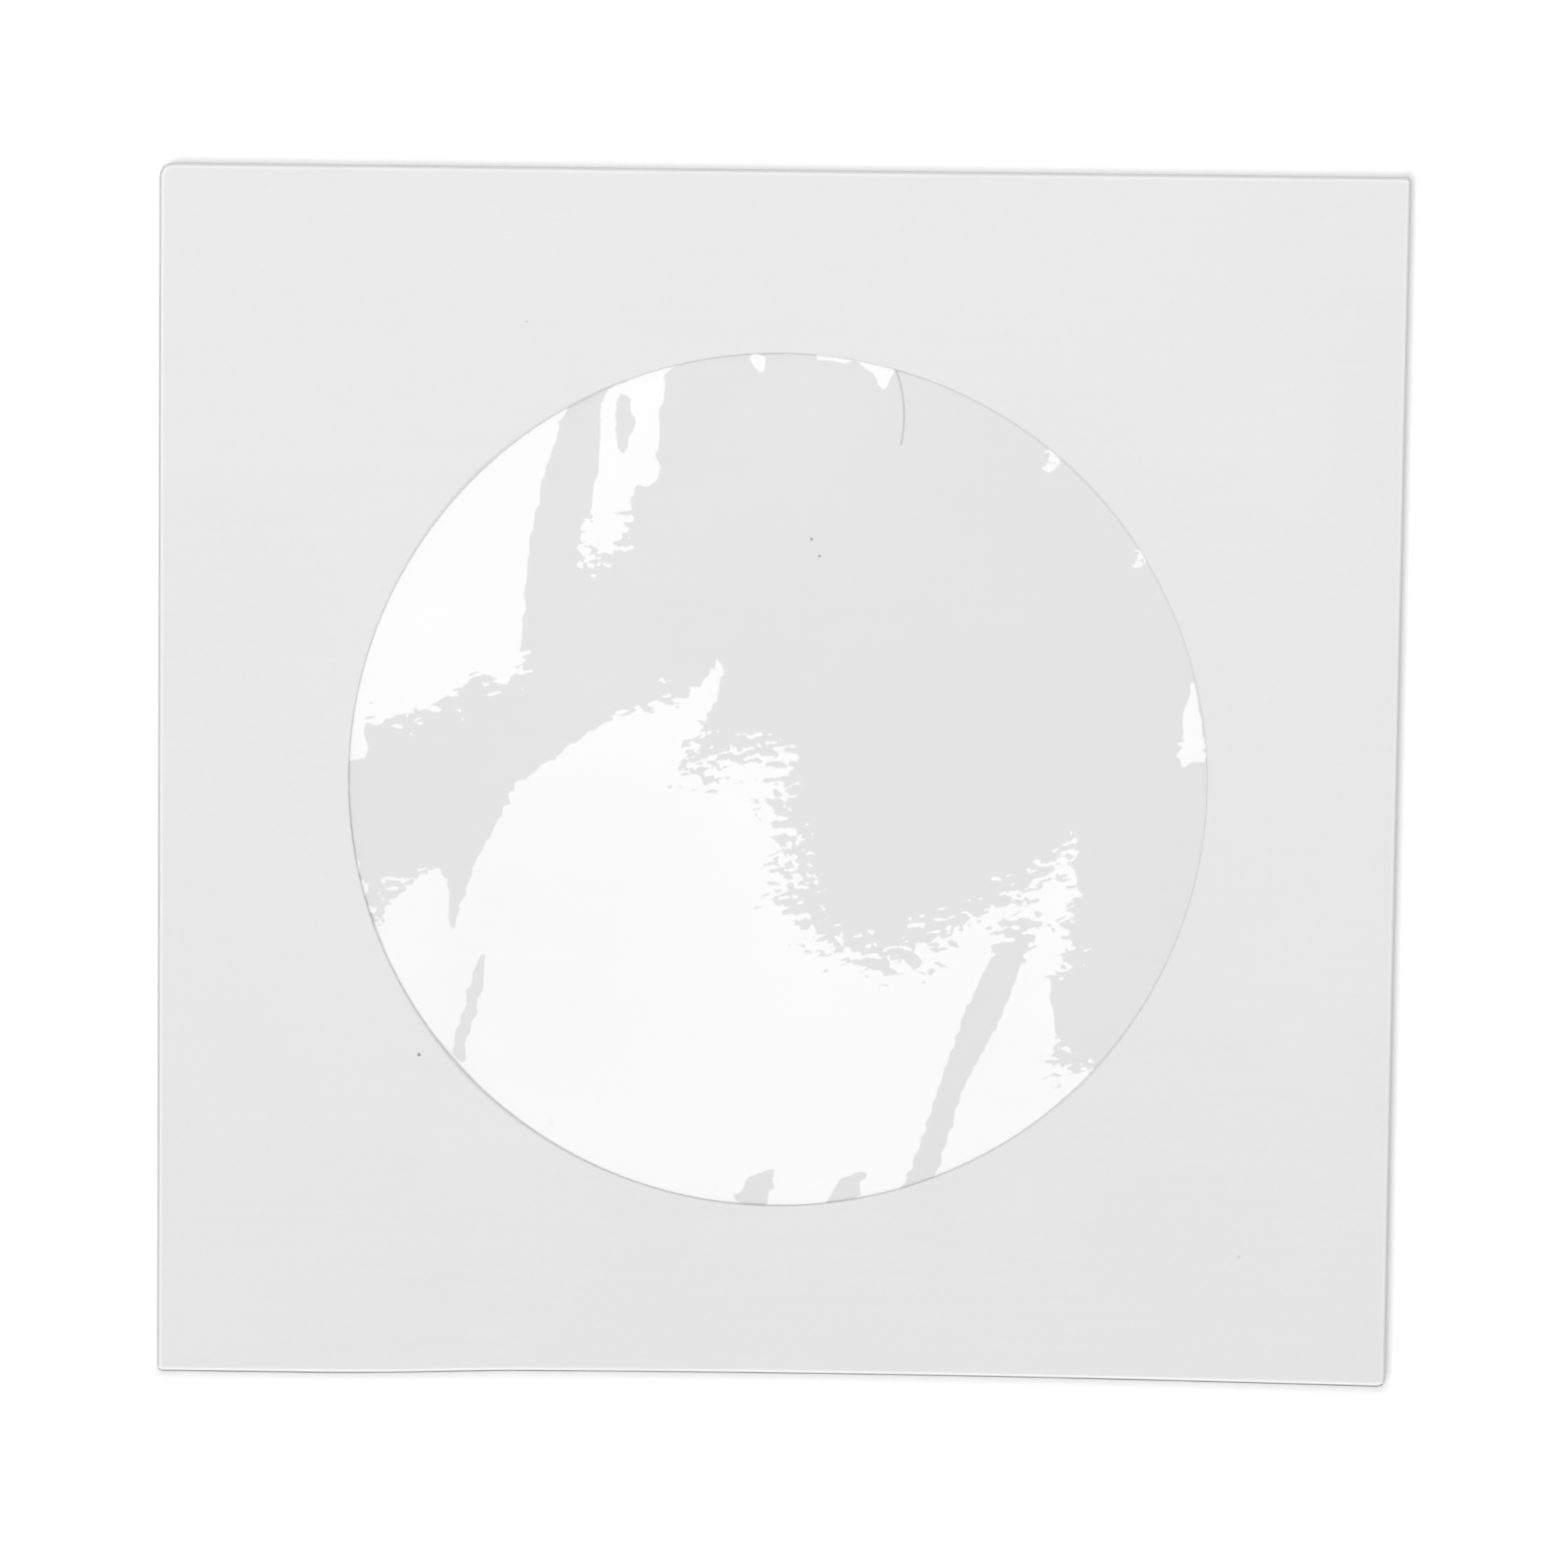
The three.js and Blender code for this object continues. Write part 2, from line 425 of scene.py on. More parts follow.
def cubic_weights(t):
    """The weights of four neighbours for a point a share t of the way between the middle two."""
    return (
        ((2 - t) * t - 1) * t / 2,
        ((3 * t - 5) * t * t + 2) / 2,
        ((4 - 3 * t) * t + 1) * t / 2,
        (t - 1) * t * t / 2,
    )


# Mesh helpers


def mesh_object(name, bm):
    bm.normal_update()
    mesh = bpy.data.meshes.new(name)
    bm.to_mesh(mesh)
    bm.free()
    for polygon in mesh.polygons:
        polygon.use_smooth = True
    piece = bpy.data.objects.new(name, mesh)
    bpy.context.scene.collection.objects.link(piece)
    return piece


def spaced(start, end, step):
    """Evenly spaced numbers from start to end, at most step apart."""
    count = max(1, math.ceil(abs(end - start) / step - 1e-6))
    return [start + (end - start) * i / count for i in range(count + 1)]


def graded(start, end, step, fine):
    """Numbers from start to end that get closer together towards the end, down to fine."""
    values = [end]
    gap = fine
    while abs(values[-1] - start) > gap * 1.5:
        values.append(values[-1] + math.copysign(gap, start - end))
        gap = min(step, gap * 1.5)
    values.append(start)
    return values[::-1]


def bridge(bm, first, second):
    """Quads between two rows of vertices of equal length."""
    for a, b, c, d in zip(first, first[1:], second[1:], second):
        bm.faces.new((a, b, c, d))


# The paper: one blank, as the middle of its thickness, folded


SQUARE = FILM_HALF
SAME_PLACE = 1e-4
FACE_STEP = 1.4
EDGE_STEP = 0.1
FOLD_STEPS = 16
RING_SHARES = (0.3, 0.55, 0.74, 0.87, 0.945, 0.98, 1.0)


def face_lines(flat, middle):
    """Grid lines across the face, finer towards its folds and exact along the film's border."""
    low = graded(middle - SQUARE, -flat, FACE_STEP, EDGE_STEP)[::-1]
    inner = spaced(middle - SQUARE, middle + SQUARE, FACE_STEP)
    high = graded(middle + SQUARE, flat, FACE_STEP, EDGE_STEP)
    return low + inner[1:-1] + high


def corner_rows(root, tip, radius):
    """Half lengths and distances along a flap whose free corners are rounded."""
    side = Vector((root[0] - tip[0], root[1] - tip[1])).normalized() * radius
    before = Vector(tip) + side
    after = Vector((tip[0] - radius, tip[1]))
    rows = []
    for share in spaced(0, 1, FACE_STEP / abs(root[1] - before.y)):
        rows.append(Vector(root).lerp(before, share))
    for share in spaced(0, 1, 0.1)[1:]:
        first = before.lerp(Vector(tip), share)
        second = Vector(tip).lerp(after, share)
        rows.append(first.lerp(second, share))
    return rows[1:]


def carry(bm, root, towards, rows):
    """Extends the sheet from a root row of vertices. Each row gives how far out it lies, its height and its
    half length."""
    across = (-towards[1], towards[0])
    roots = [(v, v.co.x * across[0] + v.co.y * across[1]) for v in root]
    half = max(abs(place) for _, place in roots)
    previous = root
    for along, height, half_length in rows:
        row = []
        for _, place in roots:
            side = place * half_length / half
            row.append(
                bm.verts.new(
                    (
                        towards[0] * along + across[0] * side,
                        towards[1] * along + across[1] * side,
                        height,
                    )
                )
            )
        bridge(bm, previous, row)
        previous = row


def fold_rows(flat, flat_beside, bottom_z, half_length):
    """The turned edge from the face down to a lower layer. Its ends meet those of the folds beside it at the
    face, and draw in to the lower layer's half length."""
    rise = (FACE_Z - bottom_z) / 2
    reach = FOLD_REACH - PAPER / 2
    rows = []
    for step in range(1, FOLD_STEPS + 1):
        share = step / FOLD_STEPS
        angle = math.pi / 2 - math.pi * share
        out = reach * math.cos(angle)
        half = flat_beside + out if share <= 0.5 else half_length
        rows.append((flat + out, bottom_z + rise + rise * math.sin(angle), half))
    return rows


def flap_rows(flat, z, outline):
    """Rows of a flap that lies flat under the face, from its fold inwards."""
    return [(flat - point.y, z, point.x) for point in outline]


def in_square(x, y):
    """Whether a point of the face is over the square of the film."""
    return abs(x) < SQUARE - SAME_PLACE and abs(y - WINDOW_Y) < SQUARE - SAME_PLACE


def face_grid(bm, columns, rows):
    """The face outside the film's square, as a grid of vertices by column and row."""
    grid = {}
    for j, y in enumerate(rows):
        for i, x in enumerate(columns):
            if not in_square(x, y):
                grid[i, j] = bm.verts.new((x, y, FACE_Z))
    for j in range(len(rows) - 1):
        for i in range(len(columns) - 1):
            middle_x = (columns[i] + columns[i + 1]) / 2
            middle_y = (rows[j] + rows[j + 1]) / 2
            if not in_square(middle_x, middle_y):
                bm.faces.new((grid[i, j], grid[i + 1, j], grid[i + 1, j + 1], grid[i, j + 1]))
    return grid


def square_loop(grid, columns, rows):
    """The grid's vertices round the film's square, in order."""
    low_i = min(i for i, x in enumerate(columns) if abs(x + SQUARE) < SAME_PLACE)
    high_i = max(i for i, x in enumerate(columns) if abs(x - SQUARE) < SAME_PLACE)
    low_j = min(j for j, y in enumerate(rows) if abs(y - WINDOW_Y + SQUARE) < SAME_PLACE)
    high_j = max(j for j, y in enumerate(rows) if abs(y - WINDOW_Y - SQUARE) < SAME_PLACE)
    loop = [grid[i, low_j] for i in range(low_i, high_i)]
    loop += [grid[high_i, j] for j in range(low_j, high_j)]
    loop += [grid[i, high_j] for i in range(high_i, low_i, -1)]
    loop += [grid[low_i, j] for j in range(high_j, low_j, -1)]
    return loop


def window_rings(bm, loop):
    """The face inside the film's square, in rings down to the round hole."""
    previous = loop + loop[:1]
    for share in RING_SHARES:
        ring = []
        for corner in loop:
            outward = Vector((corner.co.x, corner.co.y - WINDOW_Y))
            radius = outward.length
            place = outward * ((radius + (WINDOW_RADIUS - radius) * share) / radius)
            ring.append(bm.verts.new((place.x, place.y + WINDOW_Y, FACE_Z)))
        ring.append(ring[0])
        bridge(bm, ring, previous)
        previous = ring


def closing_flap(bm, root):
    half = HALF_WIDTH - CORNER_RELIEF
    outline = corner_rows((half, 0), (half - FLAP_TAPER, FLAP_DEPTH - FOLD_REACH), FLAP_CORNER)
    fold = fold_rows(FLAT_Y, FLAT_X, FLAP_Z, half)
    carry(bm, root, (0, 1), fold + flap_rows(FLAT_Y, FLAP_Z, outline))


def back_panel(bm, root):
    half = HALF_WIDTH - BACK_INSET
    outline = corner_rows((half, 0), (half, FLAT_Y + HALF_HEIGHT - THROAT_DEPTH), THROAT_CORNER)
    fold = fold_rows(FLAT_Y, FLAT_X, BACK_Z, half)
    carry(bm, root, (0, -1), fold + flap_rows(FLAT_Y, BACK_Z, outline))


def seam_flap(bm, root, side):
    half = HALF_HEIGHT - CORNER_RELIEF
    outline = []
    for share in spaced(0, 1, FACE_STEP / SEAM_FLAP_WIDTH)[1:]:
        outline.append(Vector((half - SEAM_FLAP_TAPER * share, SEAM_FLAP_WIDTH * share)))
    fold = fold_rows(FLAT_X, FLAT_Y, SEAM_Z, half)
    carry(bm, root, (side, 0), fold + flap_rows(FLAT_X, SEAM_Z, outline))


def folded_sheet():
    bm = bmesh.new()
    columns = face_lines(FLAT_X, 0)
    rows = face_lines(FLAT_Y, WINDOW_Y)
    grid = face_grid(bm, columns, rows)
    window_rings(bm, square_loop(grid, columns, rows))

    last_i, last_j = len(columns) - 1, len(rows) - 1
    closing_flap(bm, [grid[i, last_j] for i in range(last_i, -1, -1)])
    back_panel(bm, [grid[i, 0] for i in range(last_i + 1)])
    seam_flap(bm, [grid[last_i, j] for j in range(last_j + 1)], 1)
    seam_flap(bm, [grid[0, j] for j in range(last_j, -1, -1)], -1)
    return bm


# How the sheet departs from flat: its empty pocket sinks in the middle, its edges bow and it has faint waves

# How far the back rises to the film at most, and what it keeps clear of it
BACK_RISE = 1.05
BACK_CLEARANCE = 0.05

# How far from the window's middle the face starts to rise, and no longer follows the film's edge
SAG_START = 47.0
RIM_FOLLOWS = (45.0, 58.0)

# How far the bottom and right edges bow inwards, and how fast that fades away from them
BOTTOM_BOW = 0.6
BOTTOM_BOW_POWER = 4
RIGHT_BOW = 0.06
RIGHT_BOW_POWER = 6

# The shares of the half width between which the bottom edge's bow sets in
BOW_START = (-0.4, -0.75)

# The radius of each corner, by its sides
CORNER_ROUND = {(-1, 1): 1.5, (1, 1): 0.5, (1, -1): 0.9, (-1, -1): 0.6}

# The face's waves: height, how often they come along x and y, and where the noise starts
FACE_WAVES = (
    (0.16, (0.018, 0.024), (3.1, 7.7, 0.4)),
    (0.064, (0.06, 0.05), (1.3, 2.9, 5.1)),
)


def rounded_corner(x, y):
    """Draws the points of each corner onto an arc."""
    for (side_x, side_y), radius in CORNER_ROUND.items():
        dx = side_x * x - (HALF_WIDTH - radius)
        dy = side_y * y - (HALF_HEIGHT - radius)
        if dx > 0 and dy > 0:
            shrink = max(dx, dy) / math.hypot(dx, dy)
            x = side_x * (HALF_WIDTH - radius + dx * shrink)
            y = side_y * (HALF_HEIGHT - radius + dy * shrink)
    return x, y


def sinking(x, y):
    """1 in and round the window, falling smoothly to 0 at the folds."""
    radius = math.hypot(x, y - WINDOW_Y)
    if radius <= SAG_START:
        return 1.0
    to_fold = min(
        FLAT_X / max(abs(x), 1e-6) * radius,
        (FLAT_Y - math.copysign(WINDOW_Y, y)) / max(abs(y - WINDOW_Y), 1e-6) * radius,
    )
    share = min(1.0, (radius - SAG_START) / (to_fold - SAG_START))
    return 1 - share * share * (3 - 2 * share)


def face_wave(x, y):
    """Faint waves of the face, in two sizes."""
    total = 0.0
    for height, (turns_x, turns_y), (start_x, start_y, start_z) in FACE_WAVES:
        total += height * noise.noise(Vector((x * turns_x + start_x, y * turns_y + start_y, start_z)))
    return total


def face_height(x, y, rim):
    """How far the settled face is over its flat height: it follows the film's edge round the window."""
    follows = falling(math.hypot(x, y - WINDOW_Y), *RIM_FOLLOWS)
    return -FACE_SAG * sinking(x, y) + follows * rim + (1 - follows) * face_wave(x, y)


def settle(place, film_underside, rim):
    """Moves a point of the flat-folded sheet to where the lying sheet has it. The back rises to the film."""
    x, y, z = place
    x, y = rounded_corner(x, y)
    low = max(0.0, -y / HALF_HEIGHT) ** BOTTOM_BOW_POWER
    right = max(0.0, x / HALF_WIDTH) ** RIGHT_BOW_POWER
    across = x / HALF_WIDTH
    y += BOTTOM_BOW * low * (1 - across**2) * falling(across, *BOW_START)
    x -= RIGHT_BOW * right * (1 - (y / HALF_HEIGHT) ** 2)
    rise = min(BACK_RISE, film_underside - BACK_CLEARANCE - BACK_Z - PAPER / 2) * sinking(x, y)
    layers = (FLAP_Z, BACK_Z, SEAM_Z, FACE_Z)
    z += float(np.interp(place[2], layers, (0, rise, rise, face_height(x, y, rim))))
    return x, y, z


# For each side, how much whiter the paper is along its fold's crest, by wear and a painted highlight, and how
# much darker it is painted on the fold's side, as painted shade
FOLD_WEAR_HIGHLIGHT_AND_SHADE = {(-1, 0): (0.5, 0.25), (1, 0): (0.25, 0.0), (0, -1): (1.0, 1.0), (0, 1): (0.4, 0.0)}

# Where the crest and the side are, as distances beyond the flat face, and how far down they reach
CREST = (-0.12, -0.03, 0.07, 0.14)
SIDE = (0.1, 0.2)
SIDE_DROP = (0.6, 1.1)


def wear_highlight_and_shade(x, y, z):
    """Wear and painted light along the paper's folds: above 0 on the crests, whitened by wear and a painted
    highlight, below 0 high on their sides, a painted shade.
    """
    total = np.zeros_like(x)
    upper = falling(FACE_Z - z, *SIDE_DROP)
    for (side_x, side_y), (white, dark) in FOLD_WEAR_HIGHLIGHT_AND_SHADE.items():
        over = np.where(side_x, side_x * x - FLAT_X, side_y * y - FLAT_Y)
        side = upper * np.interp(over, SIDE, (0, 1))
        total += white * np.interp(over, CREST, (0, 1, 1, 0)) * upper - dark * side
    return total.clip(-1, 1)


def make_paper(waves):
    bm = folded_sheet()
    places = np.array([vertex.co for vertex in bm.verts], float)
    undersides = waves.under(places[:, 0], places[:, 1] - WINDOW_Y).tolist()
    rims = waves.rim(places[:, 0], places[:, 1] - WINDOW_Y).tolist()
    # Painted highlight, with wear, on the folds' crests and painted shade on their sides, kept on each vertex
    wear_highlight_and_shade_values = wear_highlight_and_shade(*places.T).tolist()
    layer = bm.verts.layers.float.new("wear_highlight_and_shade")
    for vertex, underside, rim, tone in zip(bm.verts, undersides, rims, wear_highlight_and_shade_values):
        vertex.co = settle(vertex.co, underside, rim)
        vertex[layer] = tone
    bmesh.ops.scale(bm, vec=(MM, MM, MM), verts=bm.verts)
    bmesh.ops.recalc_face_normals(bm, faces=bm.faces)
    piece = mesh_object("paper_sheet", bm)
    solid = piece.modifiers.new("thickness", "SOLIDIFY")
    solid.thickness = PAPER * MM
    solid.offset = 0
    solid.use_even_offset = False
    solid.use_rim = True
    return piece


# The film

FILM_SPOKES = 480
FILM_RING_STEP = 0.5
GAP_RINGS = 4
GLUED_RINGS = 5


def film_border(waves, angles, rim_z):
    """Rings of the film beyond the window: to where it is glued under the face, then out to its square."""
    to_square = FILM_HALF / np.maximum(np.abs(np.cos(angles)), np.abs(np.sin(angles)))
    glue_radius = WINDOW_RADIUS + GLUE_GAP
    border = []
    for share in spaced(0, 1, 1 / GAP_RINGS)[1:]:
        border.append((WINDOW_RADIUS + GLUE_GAP * share, 1 - share))
    for share in spaced(0, 1, 1 / GLUED_RINGS)[1:]:
        border.append((glue_radius * (1 - share) + to_square * share, 0))
    rings = []
    for radius, free in border:
        x, y = radius * np.cos(angles), radius * np.sin(angles)
        glued = [
            FACE_SAG + face_height(*place) for place in zip(x, y + WINDOW_Y, waves.rim(x, y))
        ]
        rings.append((x, y, rim_z * free + np.array(glued) * (1 - free)))
    return rings


def film_rings(waves):
    """The film's places, ring by ring from the middle out, as arrays of x, y and height."""
    angles = np.arange(FILM_SPOKES) / FILM_SPOKES * 2 * math.pi
    radii = np.array(spaced(0, WINDOW_RADIUS, FILM_RING_STEP)[1:])
    x = np.outer(radii, np.cos(angles))
    y = np.outer(radii, np.sin(angles))
    z = waves.at(x, y)
    for ring_x, ring_y, ring_z in film_border(waves, angles, z[-1]):
        x = np.vstack([x, ring_x])
        y = np.vstack([y, ring_y])
        z = np.vstack([z, ring_z])
    return x, y, z


def film_side(bm, layer, rings, middle, top):
    """One side of the film, as a fan and rings of quads. It returns the outermost ring."""
    centre = bm.verts.new((0, WINDOW_Y, top + middle))
    made = []
    for rows in rings:
        ring = []
        for x, y, z, fine in zip(*rows):
            vertex = bm.verts.new((x, y + WINDOW_Y, top + z))
            vertex[layer] = fine
            ring.append(vertex)
        made.append(ring + ring[:1])
    for a, b in zip(made[0], made[0][1:]):
        bm.faces.new((centre, a, b))
    for inner, outer in zip(made, made[1:]):
        bridge(bm, inner, outer)
    return made[-1]


def make_film(waves):
    x, y, z = film_rings(waves)
    crumpled = FILM_CALM + crumpling(x, y)
    rings = list(zip(x.tolist(), y.tolist(), z.tolist(), crumpled.tolist()))
    middle = float(waves.at(np.zeros(1), np.zeros(1))[0])

    bm = bmesh.new()
    layer = bm.verts.layers.float.new("crumpled")
    upper = film_side(bm, layer, rings, middle, FILM_TOP - FACE_SAG)
    lower = film_side(bm, layer, rings, middle, FILM_TOP - FACE_SAG - FILM)
    bridge(bm, upper, lower)
    for ring in (upper, lower):
        for a, b in zip(ring, ring[1:]):
            bm.edges.get((a, b)).smooth = False
    bmesh.ops.scale(bm, vec=(MM, MM, MM), verts=bm.verts)
    bmesh.ops.recalc_face_normals(bm, faces=bm.faces)
    for face in bm.faces:
        face.material_index = 0 if face.normal.z > 0.5 else 1
    return mesh_object("clear_film", bm)


# Materials


class Nodes:
    """Short names for making and joining a material's nodes."""

    def __init__(self, name):
        self.material = bpy.data.materials.new(name)
        self.material.use_nodes = True
        self.tree = self.material.node_tree
        self.tree.nodes.clear()
        self.output = self.tree.nodes.new("ShaderNodeOutputMaterial")
        self.place = self.tree.nodes.new("ShaderNodeTexCoord").outputs["Object"]

    def node(self, kind, inputs=(), **settings):
        made = self.tree.nodes.new(kind)
        for key, value in settings.items():
            setattr(made, key, value)
        for key, value in dict(inputs).items():
            self.set(made.inputs[key], value)
        return made

    def set(self, socket, value):
        if isinstance(value, bpy.types.NodeSocket):
            self.tree.links.new(value, socket)
        else:
            socket.default_value = value

    def math(self, operation, *values):
        made = self.tree.nodes.new("ShaderNodeMath")
        made.operation = operation
        for socket, value in zip(made.inputs, values):
            self.set(socket, value)
        return made.outputs[0]

    def stretched(self, scale):
        made = self.node("ShaderNodeMapping", {"Vector": self.place, "Scale": scale})
        return made.outputs[0]

    def flat_place(self):
        """The place on the sleeve seen from above."""
        made = self.node("ShaderNodeVectorMath", {0: self.place, 1: (1, 1, 0)}, operation="MULTIPLY")
        return made.outputs[0]

    def distance(self, place, other):
        made = self.node("ShaderNodeVectorMath", {0: place, 1: other}, operation="DISTANCE")
        return made.outputs["Value"]

    def noise(self, scale, detail=2.0, roughness=0.5):
        """Noise whose scale is in features to the metre, the same or different along each axis."""
        vector = self.stretched(scale if isinstance(scale, tuple) else (scale,) * 3)
        made = self.node(
            "ShaderNodeTexNoise",
            {"Vector": vector, "Scale": 1.0, "Detail": detail, "Roughness": roughness},
        )
        return made.outputs["Fac"]

    def around(self, value, middle, spread):
        """Turns noise about a half into a factor about middle."""
        centred = self.math("SUBTRACT", value, 0.5)
        return self.math("MULTIPLY_ADD", centred, spread, middle)

    def between(self, value, low, high, at_low, at_high):
        made = self.node(
            "ShaderNodeMapRange",
            {"Value": value, "From Min": low, "From Max": high, "To Min": at_low, "To Max": at_high},
            interpolation_type="SMOOTHSTEP",
        )
        return made.outputs["Result"]

    def grey(self, value):
        made = self.node("ShaderNodeCombineColor", {"Red": value, "Green": value, "Blue": value})
        return made.outputs[0]

    def finish(self, surface):
        self.tree.links.new(surface, self.output.inputs["Surface"])
        return self.material


# The paper's noises, in features to the metre, how far each changes the tone, and the fibres' relief
PAPER_GREY = 0.8
CLOUD_SCALE = 45.0
CLOUD_TONE = 0.03
STREAK_SCALE = (60.0, 1100.0, 300.0)
STREAK_TONE = 0.018
FIBRE_SCALE = 1500.0
FIBRE_TONE = 0.035
FIBRE_DEPTH = 0.000006

# How much the wear and painted highlight on the folds' crests and the painted shade on their sides change the
# tone, and how unevenly
FOLD_WEAR_AND_HIGHLIGHT = 0.19
FOLD_SHADE = 0.5
WEAR_LIGHT_SHADE_SCALE = 190.0
WEAR_LIGHT_SHADE_UNEVEN = 1.1


def paper_material():
    n = Nodes("white_paper")
    cloud = n.noise(CLOUD_SCALE, 3.0)
    streaks = n.noise(STREAK_SCALE, 2.0)
    fibres = n.noise(FIBRE_SCALE, 4.0, 0.65)
    tone = n.math("MULTIPLY", n.around(cloud, 1.0, CLOUD_TONE), n.around(streaks, 1.0, STREAK_TONE))
    tone = n.math("MULTIPLY", tone, n.around(fibres, 1.0, FIBRE_TONE))
    flat_place = n.flat_place()
    clean = n.math("SUBTRACT", PAPER_GREY, specks(n, flat_place, PAPER_SPECKS))
    tone = n.math("MULTIPLY", tone, clean)
    # The folds' crests are whitened by wear and a painted highlight, and their sides darkened by painted
    # shade
    wear_highlight_and_shade = n.node("ShaderNodeAttribute", attribute_name="wear_highlight_and_shade").outputs["Fac"]
    uneven = n.math("MULTIPLY", wear_highlight_and_shade, n.around(n.noise(WEAR_LIGHT_SHADE_SCALE, 2.0), 1.0, WEAR_LIGHT_SHADE_UNEVEN))
    wear_and_highlight = n.math("MULTIPLY", n.math("MAXIMUM", uneven, 0.0), FOLD_WEAR_AND_HIGHLIGHT)
    fold_shade = n.math("MULTIPLY", n.math("MINIMUM", uneven, 0.0), FOLD_SHADE)
    tone = n.math("ADD", tone, n.math("ADD", wear_and_highlight, fold_shade))
    rough = n.around(fibres, 0.88, 0.1)
    relief = n.math("MULTIPLY_ADD", streaks, 0.3, fibres)
    bump = n.node("ShaderNodeBump", {"Height": relief, "Strength": 1.0, "Distance": FIBRE_DEPTH})
    shader = n.node(
        "ShaderNodeBsdfPrincipled",
        {
            "Base Color": n.grey(tone),
            "Roughness": rough,
            "Specular IOR Level": 0.25,
            "Normal": bump.outputs[0],
        },
    )
    return n.finish(shader.outputs[0])


# The share of light that the film mirrors from straight above, and its fine crumples, in metres and degrees
FILM_MIRROR = 0.069
FILM_RIPPLE = 0.000026
RIPPLE_LENGTH = 0.0016
RIPPLE_WIDTH = 0.0009
RIPPLE_TURN = 30.0

# The crumples' clusters: the noise's features to the metre, and which of its values are weak and strong
CLUSTER_SCALE = 330.0
CLUSTER_RANGE = (0.38, 0.62, 0.45, 1.3)


def film_point(pixel):
    """A pixel of the photograph as a place on the film, in metres and at height 0."""
    x, y = on_film(pixel)
    return Vector((x * MM, (y + WINDOW_Y) * MM, 0))


def nearness(n, flat_place, pixel, reach, softness):
    """1 near a place on the film, falling to 0 at a reach given in pixels of the photograph."""
    far = n.distance(flat_place, film_point(pixel))
    edge = (film_point((pixel[0] + reach, pixel[1])) - film_point(pixel)).length
    return n.between(far, edge * softness, edge, 1.0, 0.0)


# Small dents in the film, and dark specks on the film and the paper: place, reach and strength, by pixels
DIMPLES = (((1050, 462), 12), ((1138, 560), 10))
DIMPLE_DEPTH = 0.0002
FILM_SPECKS = (((812, 540), 1.9, 0.45), ((820, 557), 1.9, 0.4), ((550, 1125), 4, 0.05))
PAPER_SPECKS = (((419, 1056), 2.4, 0.5), ((1240, 1258), 1.7, 0.2), ((527, 322), 1.7, 0.2))

# Where the film's mirror is dimmed, as painted shade on its reflections: place, reach and share of its mirror
# lost
DIMMED_MIRROR = (((530, 960), 300, 0.15), ((1005, 1080), 90, 0.1))

# The thin dark line that curves in from the window's edge, through three pixels of the photograph
DARK_LINE = ((896, 369), (904, 402), (901, 447))
DARK_LINE_WIDTH = 0.00011
DARK_LINE_DARKNESS = 0.3
DARK_LINE_FULL = 0.94


def specks(n, flat_place, places):
    total = 0.0
    for pixel, reach, strength in places:
        near = nearness(n, flat_place, pixel, reach, 0.4)
        total = n.math("MULTIPLY_ADD", near, strength, total)
    return total


def circle_through(a, b, c):
    """The middle and radius of the circle through three points."""
    ax, ay, bx, by = a.x - c.x, a.y - c.y, b.x - c.x, b.y - c.y
    a2, b2 = ax * ax + ay * ay, bx * bx + by * by
    twice = 2 * (ax * by - ay * bx)
    offset = Vector(((by * a2 - ay * b2) / twice, (ax * b2 - bx * a2) / twice, 0))
    return c + offset, offset.length


def dark_line(n, flat_place):
    # A thin dark line painted along the arc through the three points
    first, second, third = (film_point(pixel) for pixel in DARK_LINE)
    middle, radius = circle_through(first, second, third)
    aside = n.math("ABSOLUTE", n.math("SUBTRACT", n.distance(flat_place, middle), radius))
    line = n.between(aside, 0, DARK_LINE_WIDTH, DARK_LINE_DARKNESS, 0.0)
    half = (first - third).length / 2
    from_centre = n.distance(flat_place, (first + third) / 2)
    return n.math("MULTIPLY", line, n.between(from_centre, half * DARK_LINE_FULL, half, 1.0, 0.0))


